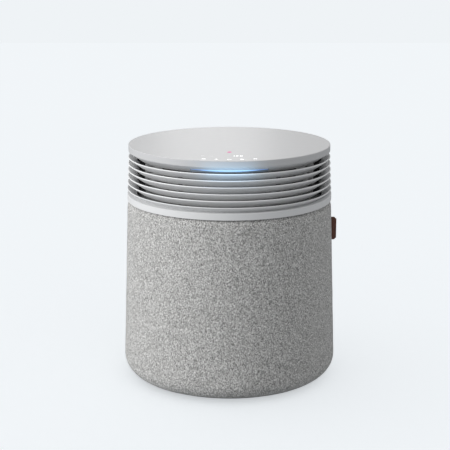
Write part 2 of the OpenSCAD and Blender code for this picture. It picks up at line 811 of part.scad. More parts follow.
module motor_shaft() {
    color("silver") difference() {
        translate([0, 0, zHub + hub_t]) cylinder(r = shaft_r, h = zMotor + 2.6 - zHub - hub_t, $fn = 64);
        translate([0, 0, zMotor + 0.5]) tube(shaft_r - 0.4, shaft_r + 1, 0.8, $fn = 64);
    }
}

module shaft_clip() {
    color("gray") translate([0, 0, zMotor + 0.55]) difference() {
        tube(shaft_r - 0.35, shaft_r + 1.6, 0.7, $fn = 64);
        translate([0, -1, -1]) cube([10, 2, 3]);
    }
}

module hub_screws() {
    color("silver") ringOf(4, 22, 45) translate([0, 0, zHub - 1.6])
        rotate([180, 0, 0]) screw(1.2, hub_t + 2.4, 2.4, 1.6);
}

module bladeShape(r) {
    intersection() {
        difference() {
            circle(r = r - 0.5, $fn = 128);
            circle(r = r * 0.56, $fn = 96);
        }
        translate([r * 0.095, -r * 0.59]) difference() {
            circle(r = r * 0.637, $fn = 96);
            circle(r = r * 0.637 - 2.2, $fn = 96);
        }
        translate([r * 0.28, -r]) square([r, r]);
    }
}

module impeller() {
    eyeR = throat_r + wall + eye_gap;
    hubR = rotor_r + 0.3;
    zEye = zThroat - 2.2;
    shroudRise = 8.5;
    color([0.22, 0.22, 0.23]) difference() {
        union() {
            spin() {
                polygon([
                    [eyeR, zEye], [eyeR + 2, zEye], [eyeR + 3.5, zEye + 2.5], [impellerR, zEye + shroudRise],
                    [impellerR, zEye + shroudRise + 2.2], [eyeR + 2.5, zEye + 4.7], [eyeR, zEye + 2.5]]);
                box(hubR, impellerR, zBack - 2.5, zBack);
                box(hubR, hubR + 2.5, zHub, zBack);
                box(0, hubR + 2.5, zHub, zHub + hub_t);
            }
            intersection() {
                translate([0, 0, zEye]) linear_extrude(zBack - zEye - 1)
                    for (i = [0:blades - 1]) rotate(i * 360 / blades) bladeShape(impellerR);
                spin() polygon([
                    [impellerR * 0.5, zEye + 6.5], [eyeR + 2.5, zEye + 3.7], [impellerR, zEye + shroudRise + 1],
                    [impellerR, zBack - 1], [impellerR * 0.5, zBack - 1]]);
            }
        }
        ringOf(4, 22, 45) translate([0, 0, zHub - 1]) cylinder(r = 1.5, h = hub_t + 2, $fn = 32);
    }
}

foot_ring();
base_plate();
base_screws();
casing();
casing_panels();
drum_rim();
interlock_magnet();
filter_seat();
fabric_sleeve();
leather_tab();
filter_bottom_cap();
filter_cap_plate();
filter_media();
filter_carbon();
prefilter_mesh();
filter_top_ring();
filter_seal();
filter_strap();
collar();
fan_deck();
deck_screws();
finger_guard();
louvre_posts();
post_screws();
louvre_1();
louvre_2();
louvre_3();
louvre_4();
louvre_5();
tray();
lid();
lid_screws();
light_bar();
light_board();
touch_board();
touch_screws();
touch_springs();
display_module();
status_lens();
main_board();
board_parts();
board_screws();
dust_sensor();
interlock_switch();
dc_inlet();
power_lead();
lead_grommet();
motor_base();
motor_dampers();
motor_screws();
motor_bearings();
stator_core();
stator_coils();
impeller();
rotor_cup();
rotor_magnets();
motor_shaft();
shaft_clip();
hub_screws();
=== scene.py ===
import json
import math

import bmesh
import bpy
from mathutils import Matrix, Vector, noise


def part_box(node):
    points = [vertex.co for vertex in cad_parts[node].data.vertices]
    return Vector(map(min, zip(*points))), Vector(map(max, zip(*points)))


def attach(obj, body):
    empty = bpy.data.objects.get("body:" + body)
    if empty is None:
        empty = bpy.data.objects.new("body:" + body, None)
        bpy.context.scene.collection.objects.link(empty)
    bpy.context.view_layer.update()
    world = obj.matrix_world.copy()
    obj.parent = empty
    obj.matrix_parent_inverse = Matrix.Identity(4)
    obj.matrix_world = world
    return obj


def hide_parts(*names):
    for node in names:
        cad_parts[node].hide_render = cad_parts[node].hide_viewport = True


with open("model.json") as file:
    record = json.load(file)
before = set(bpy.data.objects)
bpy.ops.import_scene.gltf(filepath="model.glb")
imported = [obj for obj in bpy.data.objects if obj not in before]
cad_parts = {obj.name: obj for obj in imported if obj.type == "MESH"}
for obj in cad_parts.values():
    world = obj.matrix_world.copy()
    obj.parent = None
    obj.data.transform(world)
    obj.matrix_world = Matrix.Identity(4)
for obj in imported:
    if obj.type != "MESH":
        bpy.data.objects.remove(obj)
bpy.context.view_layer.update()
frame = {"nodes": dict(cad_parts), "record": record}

mm = 0.001
scene = bpy.context.scene


def tone(*shown):
    # display values from 0 to 255 to the linear colour that a shader wants
    return tuple((v / 255 / 12.92) if v <= 10 else ((v / 255 + 0.055) / 1.055) ** 2.4 for v in shown)


# The camera comes first, because everything is judged through it.
print("camera")
view = dict(lens=96.0, sensor=36, distance=1.938, pitch=13.72, aim=0.2425, shift=-0.0096)
pitch = math.radians(view["pitch"])
cameraData = bpy.data.cameras.new("studioCamera")
cameraData.lens = view["lens"]
cameraData.sensor_width = view["sensor"]
cameraData.shift_x = view["shift"]
camera = bpy.data.objects.new("studioCamera", cameraData)
camera.location = (0, -view["distance"] * math.cos(pitch), view["aim"] + view["distance"] * math.sin(pitch))
camera.rotation_euler = (math.pi / 2 - pitch, 0, 0)
scene.collection.objects.link(camera)
scene.camera = camera
scene.view_settings.view_transform = "Standard"


class Flow:
    # one output of a shader tree, so that shader maths reads as plain sums
    def __init__(self, finish, socket):
        self.finish = finish
        self.socket = socket

    def __add__(self, other):
        return self.finish.maths("ADD", self, other)

    def __sub__(self, other):
        return self.finish.maths("SUBTRACT", self, other)

    def __rsub__(self, other):
        return self.finish.maths("SUBTRACT", other, self)

    def __mul__(self, other):
        return self.finish.maths("MULTIPLY", self, other)

    def __truediv__(self, other):
        return self.finish.maths("DIVIDE", self, other)

    def __rtruediv__(self, other):
        return self.finish.maths("DIVIDE", other, self)

    def __pow__(self, other):
        return self.finish.maths("POWER", self, other)

    def __abs__(self):
        return self.finish.maths("ABSOLUTE", self)

    __radd__ = __add__
    __rmul__ = __mul__


class Finish:
    # a material and the few node recipes that its maker uses
    def __init__(self, name, tree=None):
        self.material = None
        if tree is None:
            self.material = bpy.data.materials.new(name)
            self.material.use_nodes = True
            tree = self.material.node_tree
            self.shader = next(n for n in tree.nodes if n.type == "BSDF_PRINCIPLED")
        self.tree = tree

    def add(self, kind, settings=None, sockets=None, out=0):
        node = self.tree.nodes.new(kind)
        for key, value in (settings or {}).items():
            if key == "stops":
                ends = node.color_ramp.elements
                ends[0].position, ends[1].position = value[0][0], value[-1][0]
                ends[0].color, ends[1].color = (*value[0][1], 1), (*value[-1][1], 1)
                for place, colour in value[1:-1]:
                    ends.new(place).color = (*colour, 1)
            else:
                setattr(node, key, value)
        for key, value in (sockets or {}).items():
            self.feed(node.inputs[key], value)
        return Flow(self, node.outputs[out])

    def feed(self, socket, value):
        if isinstance(value, Flow):
            self.tree.links.new(value.socket, socket)
        elif socket.type == "RGBA":
            socket.default_value = (*value[:3], 1)
        else:
            socket.default_value = value

    def maths(self, operation, first, second=0.0):
        return self.add("ShaderNodeMath", {"operation": operation}, {0: first, 1: second})

    def clamp(self, value):
        return self.add("ShaderNodeClamp", {}, {0: value})

    def mix(self, amount, first, second):
        return self.add("ShaderNodeMix", {"data_type": "RGBA"}, {0: amount, 6: first, 7: second}, out=2)

    def place(self):
        return self.add("ShaderNodeTexCoord", out=3)

    def parts(self, vector):
        split = self.add("ShaderNodeSeparateXYZ", {}, {0: vector})
        return [Flow(self, s) for s in split.socket.node.outputs]

    def join(self, x, y, z=0.0):
        return self.add("ShaderNodeCombineXYZ", {}, {0: x, 1: y, 2: z})

    def noise(self, scale, detail=2.0, rough=0.5, at=None):
        return self.add("ShaderNodeTexNoise", {}, {
            "Vector": at or self.place(), "Scale": scale, "Detail": detail, "Roughness": rough})

    def cells(self, scale, feature="F1", at=None, randomness=1.0):
        return self.add("ShaderNodeTexVoronoi", {"feature": feature}, {
            "Vector": at or self.place(), "Scale": scale, "Randomness": randomness})

    def bump(self, height, distance, strength=1.0):
        return self.add("ShaderNodeBump", {}, {"Height": height, "Distance": distance, "Strength": strength})

    def paint(self, **sockets):
        # baseColor=... feeds Base Color, and so on
        for key, value in sockets.items():
            words = "".join(" " + c if c.isupper() else c for c in key).split()
            self.feed(self.shader.inputs[" ".join(w.capitalize() for w in words)], value)
        return self.material


def scaled(colour, share):
    return tuple(min(1.0, c * share) for c in colour)


def mouldedPlastic(name, colour, roughness, grain=0.5 * mm, depth=0.012 * mm, mottle=0.03):
    f = Finish(name)
    clouds = f.noise(14, 3, 0.55)
    fine = f.noise(1 / grain, 2, 0.6)
    rubbed = f.noise(90, 4, 0.65)
    amount = f.clamp(clouds + (fine - 0.5) * 0.35)
    f.shader.inputs["Specular IOR Level"].default_value = 0.45
    return f.paint(
        baseColor=f.mix(amount, scaled(colour, 1 - mottle), scaled(colour, 1 + mottle)),
        roughness=roughness + (rubbed - 0.5) * 0.12 + (fine - 0.5) * 0.08,
        normal=f.bump(fine, depth))


def knit(name, look):
    f = Finish(name)
    uv = f.add("ShaderNodeUVMap", {"uv_map": "weave"})
    across, along, _ = f.parts(uv)
    wander = (f.noise(160, 2) - 0.5) * 0.9
    wale = across / look["wale"] + wander
    column = f.maths("FLOOR", wale * 2)
    leg = wale * 2 - column
    lean = f.maths("PINGPONG", wale, 0.5) * look["slant"]
    course = along / look["course"] + lean + wander * 0.5
    row = f.maths("FLOOR", course)
    rise = f.maths("SINE", (course - row) * math.pi)
    yarn = rise * (0.35 + f.maths("SINE", leg * math.pi) * 0.65)
    dyed = f.add("ShaderNodeTexWhiteNoise", {"noise_dimensions": "2D"}, {"Vector": f.join(column, row)})
    blend = f.noise(960, 2, 0.7)
    fibre = f.noise(1900, 2, 0.7)
    clouds = f.noise(22, 3, 0.6)
    # the yarn term is painted shade: lighter on the raised loops, darker in the dips between them
    amount = f.clamp(
        0.5 + (dyed - 0.5) * look["dye"] + (blend - 0.5) * look["blend"] + (fibre - 0.5) * 0.5
        + (clouds - 0.5) * 0.12 + (yarn - 0.45) * 0.3)
    f.shader.inputs["Sheen Weight"].default_value = look["sheen"]
    f.shader.inputs["Sheen Roughness"].default_value = 0.5
    f.shader.inputs["Specular IOR Level"].default_value = 0.2
    return f.paint(
        baseColor=f.mix(amount, look["dark"], look["light"]),
        roughness=0.86 + (fibre - 0.5) * 0.15,
        normal=f.bump(yarn * 0.75 + blend * 0.5 + fibre * 0.25, look["relief"], 0.9))


def leather(name, look):
    f = Finish(name)
    pebble = f.cells(780, "DISTANCE_TO_EDGE")
    crease = f.clamp(pebble * 3.2)
    patches = f.noise(120, 3, 0.6)
    pores = f.noise(2600, 2, 0.6)
    worn = f.clamp((patches - 0.42) * 2.2)
    base = f.mix(worn, look["deep"], look["warm"])
    f.shader.inputs["Specular IOR Level"].default_value = 0.4
    return f.paint(
        # painted shade: the crease colour darkens the low creases between the pebbles
        baseColor=f.mix(crease * 0.8 + 0.2, look["crease"], base),
        roughness=0.52 + (patches - 0.5) * 0.2 + (pores - 0.5) * 0.12,
        normal=f.bump(crease + pores * 0.2, 0.08 * mm, 0.8))


def thread(name, colour):
    f = Finish(name)
    x, y, z = f.parts(f.place())
    twist = f.maths("SINE", (x + y + z * 1.4) * (2 * math.pi / (0.45 * mm)))
    return f.paint(
        # painted shade: the twist darkens the colour in the grooves between the plies
        baseColor=f.mix(twist * 0.3 + 0.5, scaled(colour, 0.7), colour),
        roughness=0.75 + (f.noise(1500) - 0.5) * 0.2,
        normal=f.bump(twist, 0.05 * mm, 0.8))


def turnedMetal(name, colour, roughness, rings=0.35 * mm, depth=0.01 * mm):
    f = Finish(name)
    x, y, z = f.parts(f.place())
    radius = f.maths("SQRT", x * x + y * y)
    lines = f.noise(1.0, 3, 0.6, at=f.join(radius / rings, z / rings))
    stain = f.noise(60, 3, 0.6)
    return f.paint(
        baseColor=f.mix(stain, scaled(colour, 0.82), colour),
        metallic=1.0,
        roughness=roughness + (lines - 0.5) * 0.22 + (stain - 0.5) * 0.1,
        normal=f.bump(lines, depth, 0.7))


def rubber(name, colour):
    f = Finish(name)
    dust = f.noise(70, 4, 0.7)
    grain = f.noise(1500, 2)
    return f.paint(
        baseColor=f.mix(f.clamp((dust - 0.45) * 2), colour, scaled(colour, 1.9)),
        roughness=0.78 + (dust - 0.5) * 0.2,
        normal=f.bump(grain, 0.03 * mm, 0.7))


def paper(name, colour):
    f = Finish(name)
    fibres = f.noise(900, 4, 0.75)
    felt = f.noise(160, 3, 0.6)
    return f.paint(
        baseColor=f.mix(f.clamp(fibres * 0.7 + felt * 0.4), scaled(colour, 0.82), colour),
        roughness=0.9 + (fibres - 0.5) * 0.1,
        normal=f.bump(fibres, 0.08 * mm, 0.8))


def granules(name, colour, size, relief):
    f = Finish(name)
    grains = f.cells(1 / size)
    each = f.noise(1 / size, 1)
    return f.paint(
        # painted shade: each granule is painted lighter in its middle and darker towards the gaps between
        # granules
        baseColor=f.mix(f.clamp(grains * 1.2), scaled(colour, 1.8), scaled(colour, 0.35)),
        roughness=0.6 + (each - 0.5) * 0.4,
        normal=f.bump(1 - grains, relief, 0.9))


def wireMesh(name, colour, pitch):
    f = Finish(name)
    x, y, z = f.parts(f.place())
    turn = f.maths("ARCTAN2", y, x) * (0.143 / pitch)
    warp = abs(f.maths("SINE", turn * math.pi))
    weft = abs(f.maths("SINE", z * (math.pi / pitch)))
    hole = f.maths("GREATER_THAN", f.maths("MINIMUM", warp, weft), 0.42)
    return f.paint(
        # painted shade: the openings between the wires are painted dark instead of being cut through
        baseColor=f.mix(hole, colour, scaled(colour, 0.16)),
        roughness=0.5 + hole * 0.35,
        normal=f.bump(1 - f.maths("MINIMUM", warp, weft), 0.2 * mm, 0.8))


def foam(name, colour):
    f = Finish(name)
    pores = f.cells(1300)
    large = f.cells(420)
    return f.paint(
        # painted shade: darker towards the low cell edges, where the pores sink in
        baseColor=f.mix(f.clamp(pores + large * 0.5), colour, scaled(colour, 0.35)),
        roughness=0.95 + (pores - 0.5) * 0.05,
        normal=f.bump(1 - pores, 0.25 * mm, 0.9))


def webbing(name, colour):
    f = Finish(name)
    x, y, _ = f.parts(f.place())
    warp = f.maths("SINE", y * (2 * math.pi / (1.3 * mm)))
    weft = f.maths("SINE", x * (2 * math.pi / (1.1 * mm)) + f.maths("SIGN", warp) * 1.57)
    return f.paint(
        # the weft term is painted shade where the threads dip; the noise term is random tone
        baseColor=f.mix(weft * 0.3 + 0.5 + (f.noise(900) - 0.5) * 0.3, scaled(colour, 0.6), colour),
        roughness=0.8 + weft * 0.05,
        normal=f.bump(warp * 0.5 + weft, 0.12 * mm, 0.9))


def circuitBoard(name, colour):
    f = Finish(name)
    x, y, _ = f.parts(f.place())
    traces = f.cells(170, "DISTANCE_TO_EDGE", at=f.join(x, y), randomness=0.25)
    line = f.maths("LESS_THAN", traces, 0.09)
    pads = f.maths("LESS_THAN", f.cells(230, at=f.join(x, y), randomness=0.4), 0.13)
    mask = f.mix(line, colour, scaled(colour, 1.7))
    return f.paint(
        baseColor=f.mix(pads, mask, tone(214, 190, 120)),
        metallic=pads,
        roughness=0.38 + line * 0.08 - pads * 0.1,
        normal=f.bump(line + pads, 0.03 * mm, 0.7))


def windings(name, colour):
    f = Finish(name)
    _, _, z = f.parts(f.place())
    turns = f.maths("SINE", z * (2 * math.pi / (0.5 * mm)))
    tint = f.noise(300)
    return f.paint(
        baseColor=f.mix(tint, scaled(colour, 0.6), colour), metallic=0.9,
        roughness=0.32 + (tint - 0.5) * 0.2, normal=f.bump(turns, 0.1 * mm, 0.9))


def laminated(name, colour):
    f = Finish(name)
    _, _, z = f.parts(f.place())
    sheets = f.maths("SINE", z * (2 * math.pi / (0.5 * mm)))
    return f.paint(
        baseColor=f.mix(sheets * 0.5 + 0.5, scaled(colour, 0.5), colour), metallic=1.0,
        roughness=0.45 + (f.noise(500) - 0.5) * 0.2, normal=f.bump(sheets, 0.05 * mm, 0.8))


def lightGuide(name, look):
    # brightest and tallest in the middle, fading to a thin deep blue line at the ends
    f = Finish(name)
    x, _, z = f.parts(f.place())
    out = abs(x) / look["halfLength"]
    glow = f.add("ShaderNodeValToRGB", {"stops": look["stops"]}, {0: out})
    reach = (1 - out * out * look["taper"]) * look["halfHeight"]
    lit = f.clamp((reach - abs(z - look["middle"])) / look["blur"])
    streaks = f.noise(420, 2)
    f.shader.inputs["Emission Strength"].default_value = look["strength"]
    return f.paint(
        baseColor=f.mix(streaks, tone(112, 122, 132), tone(124, 134, 144)),
        roughness=0.3 + (streaks - 0.5) * 0.15,
        emissionColor=f.mix(lit, (0.0, 0.0, 0.0), glow),
        normal=f.bump(streaks, 0.01 * mm, 0.5))


def litMark(name, colour, strength, edge=0.75, body=1.0):
    f = Finish(name)
    spots = f.noise(2400, 2)
    f.shader.inputs["Emission Strength"].default_value = strength
    f.shader.inputs["Specular IOR Level"].default_value = 0.0
    return f.paint(
        baseColor=f.mix(spots, scaled(colour, 0.9 * body), scaled(colour, body)),
        roughness=0.35 + (spots - 0.5) * 0.1,
        emissionColor=f.mix(spots, scaled(colour, edge), colour),
        normal=f.bump(spots, 0.01 * mm, 0.4))


print("finishes")
shellWhite = (0.73, 0.735, 0.74)
barMiddle = (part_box("light_bar")[0].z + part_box("light_bar")[1].z) / 2
finishes = {
    "shell_grey": mouldedPlastic("shellGrey", shellWhite, 0.42, mottle=0.015),
    "lid_satin": mouldedPlastic(
        "lidSatin", (0.57, 0.573, 0.58), 0.33, grain=0.35 * mm, depth=0.008 * mm, mottle=0.012),
    "dark_plastic": mouldedPlastic("darkPlastic", tone(52, 52, 54), 0.5, mottle=0.08),
    "inner_plastic": mouldedPlastic("innerPlastic", tone(128, 129, 130), 0.55, mottle=0.05),
    "foot_rubber": rubber("footRubber", tone(38, 38, 39)),
    "screw_steel": turnedMetal("screwSteel", tone(196, 196, 198), 0.3),
    "shaft_steel": turnedMetal("shaftSteel", tone(205, 205, 208), 0.18, rings=0.2 * mm),
    "magnet_grey": turnedMetal("magnetGrey", tone(120, 120, 124), 0.4),
    "filter_paper": paper("filterPaper", tone(240, 240, 234)),
    "carbon_black": granules("carbonBlack", tone(44, 44, 46), 1.4 * mm, 0.5 * mm),
    "mesh_grey": wireMesh("meshGrey", tone(122, 124, 128), 1.5 * mm),
    "seal_foam": foam("sealFoam", tone(60, 62, 66)),
    "strap_web": webbing("strapWeb", tone(196, 96, 72)),
    "board_green": circuitBoard("boardGreen", tone(28, 88, 60)),
    "part_black": mouldedPlastic("partBlack", tone(34, 34, 36), 0.42, mottle=0.1),
    "spring_gold": turnedMetal("springGold", tone(226, 190, 110), 0.28),
    "cast_alloy": turnedMetal("castAlloy", tone(176, 178, 182), 0.42, rings=0.6 * mm, depth=0.03 * mm),
    "lamination": laminated("lamination", tone(150, 150, 154)),
    "coil_copper": windings("coilCopper", tone(206, 118, 66)),
    "light_guide": lightGuide("lightGuide", dict(
        halfLength=0.0574, halfHeight=2.3 * mm, middle=barMiddle, taper=0.66, blur=0.6 * mm, strength=1.0,
        stops=[(0.0, tone(168, 216, 255)), (0.45, tone(150, 204, 255)), (0.68, tone(128, 178, 242)),
               (0.78, tone(88, 132, 200)), (1.0, tone(72, 112, 178))])),
    "lens_pink": litMark("lensPink", tone(248, 56, 168), 0.95, body=0.1),
    "knit_fabric": knit("knitFabric", dict(
        wale=2.1 * mm, course=1.7 * mm, slant=1.3, relief=0.5 * mm, dye=1.1, blend=7.5, sheen=0.12,
        dark=(0.15, 0.147, 0.142), light=(0.87, 0.864, 0.848))),
    "leather_brown": leather("leatherBrown", dict(
        deep=tone(106, 62, 48), warm=tone(136, 84, 66), crease=tone(72, 44, 36))),
}
iconWhite = litMark("iconWhite", (1.0, 1.0, 1.0), 1.0, edge=0.95)
iconFaint = litMark("iconFaint", tone(226, 226, 228), 0.55)
seamThread = thread("seamThread", tone(150, 150, 148))
tabThread = thread("tabThread", tone(150, 106, 84))

slotOf = {s["node"]: s["material_slot"] for s in frame["record"]["subparts"]}
# the louvres are a shade lighter than the collar
louvreWhite = mouldedPlastic("louvreWhite", (0.84, 0.843, 0.847), 0.42, mottle=0.015)
for node, obj in frame["nodes"].items():
    isLouvre = node.startswith("louvre_") and node != "louvre_posts"
    obj.data.materials.clear()
    obj.data.materials.append(louvreWhite if isLouvre else finishes[slotOf[node]])


def piece(name, bm, body, material, smooth=True):
    mesh = bpy.data.meshes.new(name)
    bm.to_mesh(mesh)
    bm.free()
    mesh.materials.append(material)
    for face in mesh.polygons:
        face.use_smooth = smooth
    obj = bpy.data.objects.new(name, mesh)
    scene.collection.objects.link(obj)
    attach(obj, body)
    return obj


def spun(points, steps):
    # a line of (radius, height) turned once round the upright axis
    bm = bmesh.new()
    verts = [bm.verts.new((r, 0, z)) for r, z in points]
    edges = [bm.edges.new(pair) for pair in zip(verts, verts[1:])]
    bmesh.ops.spin(bm, geom=verts + edges, cent=(0, 0, 0), axis=(0, 0, 1), angle=2 * math.pi,
                   steps=steps, use_merge=True, use_duplicate=False)
    bmesh.ops.remove_doubles(bm, verts=bm.verts, dist=0.001 * mm)
    return bm


def arc(centre, radius, start, end, count):
    turns = [math.radians(start + (end - start) * i / count) for i in range(count + 1)]
    return [(centre[0] + radius * math.cos(t), centre[1] + radius * math.sin(t)) for t in turns]


def straight(first, last, count):
    return [(first[0] + (last[0] - first[0]) * i / count, first[1] + (last[1] - first[1]) * i / count)
            for i in range(1, count)]


print("knit sleeve")
sleeve = dict(
    shoulderRadius=13 * mm, shoulderWrap=58,  # the rounded top and how many degrees of it there are
    overSeam=1.435 * mm,                      # from the collar's foot up to where that curve would top out
    flare=8.6 * mm,                           # what the foot's radius has over the shoulder's
    hemRadius=29 * mm, turnedUnder=5.6 * mm, thickness=4.6 * mm,
    pucker=0.35 * mm, broadFolds=22, fineFolds=70,
    rings=300, shoulderSteps=14, sideSteps=56, hemSteps=20)
low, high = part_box("fabric_sleeve")
footRadius = high.x
topRadius = footRadius - sleeve["flare"]
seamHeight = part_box("collar")[0].z
shoulderTop = seamHeight + sleeve["overSeam"]
shoulderCentre = (topRadius - sleeve["shoulderRadius"], shoulderTop - sleeve["shoulderRadius"])
hemCentre = (footRadius - sleeve["hemRadius"], low.z + sleeve["hemRadius"])
shoulder = arc(shoulderCentre, sleeve["shoulderRadius"], sleeve["shoulderWrap"], 0, sleeve["shoulderSteps"])
hem = arc(hemCentre, sleeve["hemRadius"], 0, -90, sleeve["hemSteps"])
turnedEdge = (hemCentre[0] - sleeve["turnedUnder"], low.z)
outline = shoulder + straight(shoulder[-1], hem[0], sleeve["sideSteps"]) + hem + [turnedEdge]
runs = [0.0]
for (r0, z0), (r1, z1) in zip(outline, outline[1:]):
    runs.append(runs[-1] + math.hypot(r1 - r0, z1 - z0))


def runOf(vert):
    # how far along the outline a vertex of the sleeve is
    r, z = math.hypot(vert.co.x, vert.co.y), vert.co.z
    nearest = min(range(len(outline)), key=lambda i: (outline[i][0] - r) ** 2 + (outline[i][1] - z) ** 2)
    return runs[nearest]


bm = spun(outline, sleeve["rings"])
weave = bm.loops.layers.uv.new("weave")
runAt = {vert: runOf(vert) for vert in bm.verts}
for face in bm.faces:
    centre = face.calc_center_median()
    middle = math.atan2(centre.x, -centre.y)
    for loop in face.loops:
        x, y, z = loop.vert.co
        turn = math.atan2(x, -y)
        turn += 2 * math.pi * round((middle - turn) / (2 * math.pi))
        loop[weave].uv = (turn * topRadius, runAt[loop.vert])
side = next(f for f in bm.faces if f.calc_center_median().z > 0.15)
side.normal_update()
if side.normal.dot(Vector((side.calc_center_median().x, side.calc_center_median().y, 0))) < 0:
    bmesh.ops.reverse_faces(bm, faces=bm.faces)
bm.normal_update()
for vert in bm.verts:
    soft = noise.noise(vert.co * sleeve["broadFolds"]) + 0.5 * noise.noise(vert.co * sleeve["fineFolds"])
    vert.co += vert.normal * soft * sleeve["pucker"]
knitSleeve = piece("knitSleeve", bm, "drum", finishes["knit_fabric"])
wall = knitSleeve.modifiers.new("wall", "SOLIDIFY")
wall.thickness = sleeve["thickness"]
wall.offset = -1
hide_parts("fabric_sleeve")


def onOutline(run):
    # the point of the sleeve's outline at that run, and its outward direction
    for i in range(1, len(runs)):
        if runs[i] >= run:
            share = (run - runs[i - 1]) / (runs[i] - runs[i - 1])
            (r0, z0), (r1, z1) = outline[i - 1], outline[i]
            size = math.hypot(r1 - r0, z1 - z0)
            return (r0 + (r1 - r0) * share, z0 + (z1 - z0) * share), ((z0 - z1) / size, (r1 - r0) / size)


# where the knit's two ends meet at the back: a low fold with a row of stitches on each side
seam = dict(width=5.5 * mm, rise=0.7 * mm, groove=0.35 * mm, start=2 * mm, hemGap=8 * mm,
            stitchStart=6 * mm, stitch=3.2 * mm, gap=1.3 * mm, rowHalf=1.6 * mm, threadRadius=0.35 * mm)
length = runs[-1] - seam["hemGap"]
bm = bmesh.new()
bmesh.ops.create_grid(bm, x_segments=8, y_segments=120, size=0.5)
for vert in bm.verts:
    (r, z), (nr, nz) = onOutline(seam["start"] + (vert.co.y + 0.5) * length)
    across = vert.co.x * seam["width"]
    groove = seam["groove"] * (abs(vert.co.x) < 0.05)
    up = seam["rise"] * math.sqrt(max(0.0, 1 - (2 * abs(vert.co.x)) ** 4)) - groove
    vert.co = (-across, r + nr * up, z + nz * up)
bmesh.ops.recalc_face_normals(bm, faces=bm.faces)
if next(iter(bm.faces)).normal.y < 0:
    bmesh.ops.reverse_faces(bm, faces=bm.faces)
uvs = bm.loops.layers.uv.new("weave")
for face in bm.faces:
    for loop in face.loops:
        loop[uvs].uv = (loop.vert.co.z, loop.vert.co.x)
seamFold = piece("sleeveSeam", bm, "drum", finishes["knit_fabric"])

bm = bmesh.new()
run = seam["stitchStart"]
while run < length:
    (r, z), (nr, nz) = onOutline(run)
    for sideways in (-seam["rowHalf"], seam["rowHalf"]):
        place = Matrix.Translation((sideways, r + nr * seam["rise"], z + nz * seam["rise"]))
        lean = Matrix.Rotation(math.atan2(nz, nr), 4, "X")
        size = (seam["threadRadius"], seam["threadRadius"], seam["stitch"] / 2)
        bmesh.ops.create_uvsphere(
            bm, u_segments=6, v_segments=4, radius=1, matrix=place @ lean @ Matrix.Diagonal((*size, 1)))
    run += seam["stitch"] + seam["gap"]
seamStitches = piece("seamStitches", bm, "drum", seamThread)


print("leather tab")
tab = dict(thickness=1.7 * mm, foldGap=0.15 * mm, inside=5 * mm, corner=2.6 * mm, worn=0.4 * mm,
           stitchInset=3.2 * mm, endGap=8 * mm, stitch=2.2 * mm, gap=1.0 * mm, threadWidth=0.32 * mm,
           threadHeight=0.28 * mm)
low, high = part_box("leather_tab")
tabHeight = high.z - low.z
tabMiddle = (high.z + low.z) / 2
foldRadius = tab["thickness"] / 2 + tab["foldGap"]
tipX = high.x - tab["thickness"] / 2 - foldRadius
rootX = low.x - tab["inside"]
straightLength = tipX - rootX
foldLength = math.pi * foldRadius
total = 2 * straightLength + foldLength


def tabPoint(run, height):
    # where a run across the folded strip lands: out on one side, round the fold and back
    fromTip = max(0.0, abs(run - total / 2) - foldLength / 2)
    corner = tab["corner"]
    trim = 0.0
    if fromTip < corner:
        trim = corner - math.sqrt(corner ** 2 - (corner - fromTip) ** 2)
    z = tabMiddle + height * (tabHeight / 2 - trim)
    if run < straightLength:
        return (rootX + run, foldRadius, z)
    if run > straightLength + foldLength:
        return (rootX + total - run, -foldRadius, z)
    turn = (run - straightLength) / foldRadius
    return (tipX + foldRadius * math.sin(turn), foldRadius * math.cos(turn), z)


bm = bmesh.new()
bmesh.ops.create_grid(bm, x_segments=64, y_segments=26, size=0.5)
for vert in bm.verts:
    vert.co = tabPoint((vert.co.x + 0.5) * total, vert.co.y * 2)
bmesh.ops.recalc_face_normals(bm, faces=bm.faces)
leatherTab = piece("leatherTab", bm, "drum", finishes["leather_brown"])
wall = leatherTab.modifiers.new("hide", "SOLIDIFY")
wall.thickness = tab["thickness"]
wall.offset = 0
edge = leatherTab.modifiers.new("edge", "BEVEL")
edge.width = tab["worn"]
edge.segments = 2
edge.limit_method = "ANGLE"
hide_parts("leather_tab")

bm = bmesh.new()
surface = foldRadius + tab["thickness"] / 2
stitchX = high.x - tab["stitchInset"] - tab["corner"] / 2
steps = int((tabHeight - tab["endGap"]) / (tab["stitch"] + tab["gap"]))
for i in range(steps):
    z = tabMiddle + (i - (steps - 1) / 2) * (tab["stitch"] + tab["gap"])
    for y in (-surface, surface):
        size = (tab["threadWidth"], tab["threadHeight"], tab["stitch"] / 2)
        bmesh.ops.create_uvsphere(
            bm, u_segments=6, v_segments=4, radius=1,
            matrix=Matrix.Translation((stitchX, y, z)) @ Matrix.Diagonal((*size, 1)))
tabStitches = piece("tabStitches", bm, "drum", tabThread)


print("seal and strap")
seal = dict(width=26 * mm, edge=1.6 * mm, swell=0.35 * mm, lumps=45, steps=144)
low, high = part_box("filter_seal")
inner, outer, e = high.x - seal["width"], high.x, seal["edge"]
section = (arc((outer - e, low.z + e), e, -90, 0, 4) + arc((outer - e, high.z - e), e, 0, 90, 4)
           + straight((outer - e, high.z), (inner + e, high.z), 9)
           + arc((inner + e, high.z - e), e, 90, 180, 4) + arc((inner + e, low.z + e), e, 180, 270, 4))
bm = spun(section + section[:1], seal["steps"])
bmesh.ops.recalc_face_normals(bm, faces=bm.faces)
for vert in bm.verts:
    if vert.co.z > (low.z + high.z) / 2:
        vert.co.z -= seal["swell"] * (0.5 + noise.noise(vert.co * seal["lumps"]))
foamSeal = piece("foamSeal", bm, "filter", finishes["seal_foam"])
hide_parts("filter_seal")

strap = dict(thickness=1.3 * mm, arch=1.1 * mm, selvedge=1.2 * mm, rolled=0.25 * mm, sewn=11 * mm,
             stitch=2.4 * mm, gap=1.2 * mm, threadWidth=0.4 * mm, threadHeight=0.25 * mm, perRow=5)
low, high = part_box("filter_strap")
strapLength, strapWidth = high.x - low.x, high.y - low.y
flatZ = (low.z + high.z) / 2


def strapHeight(x):
    return flatZ + strap["arch"] * (0.5 + 0.5 * math.cos(2 * math.pi * x / strapLength))


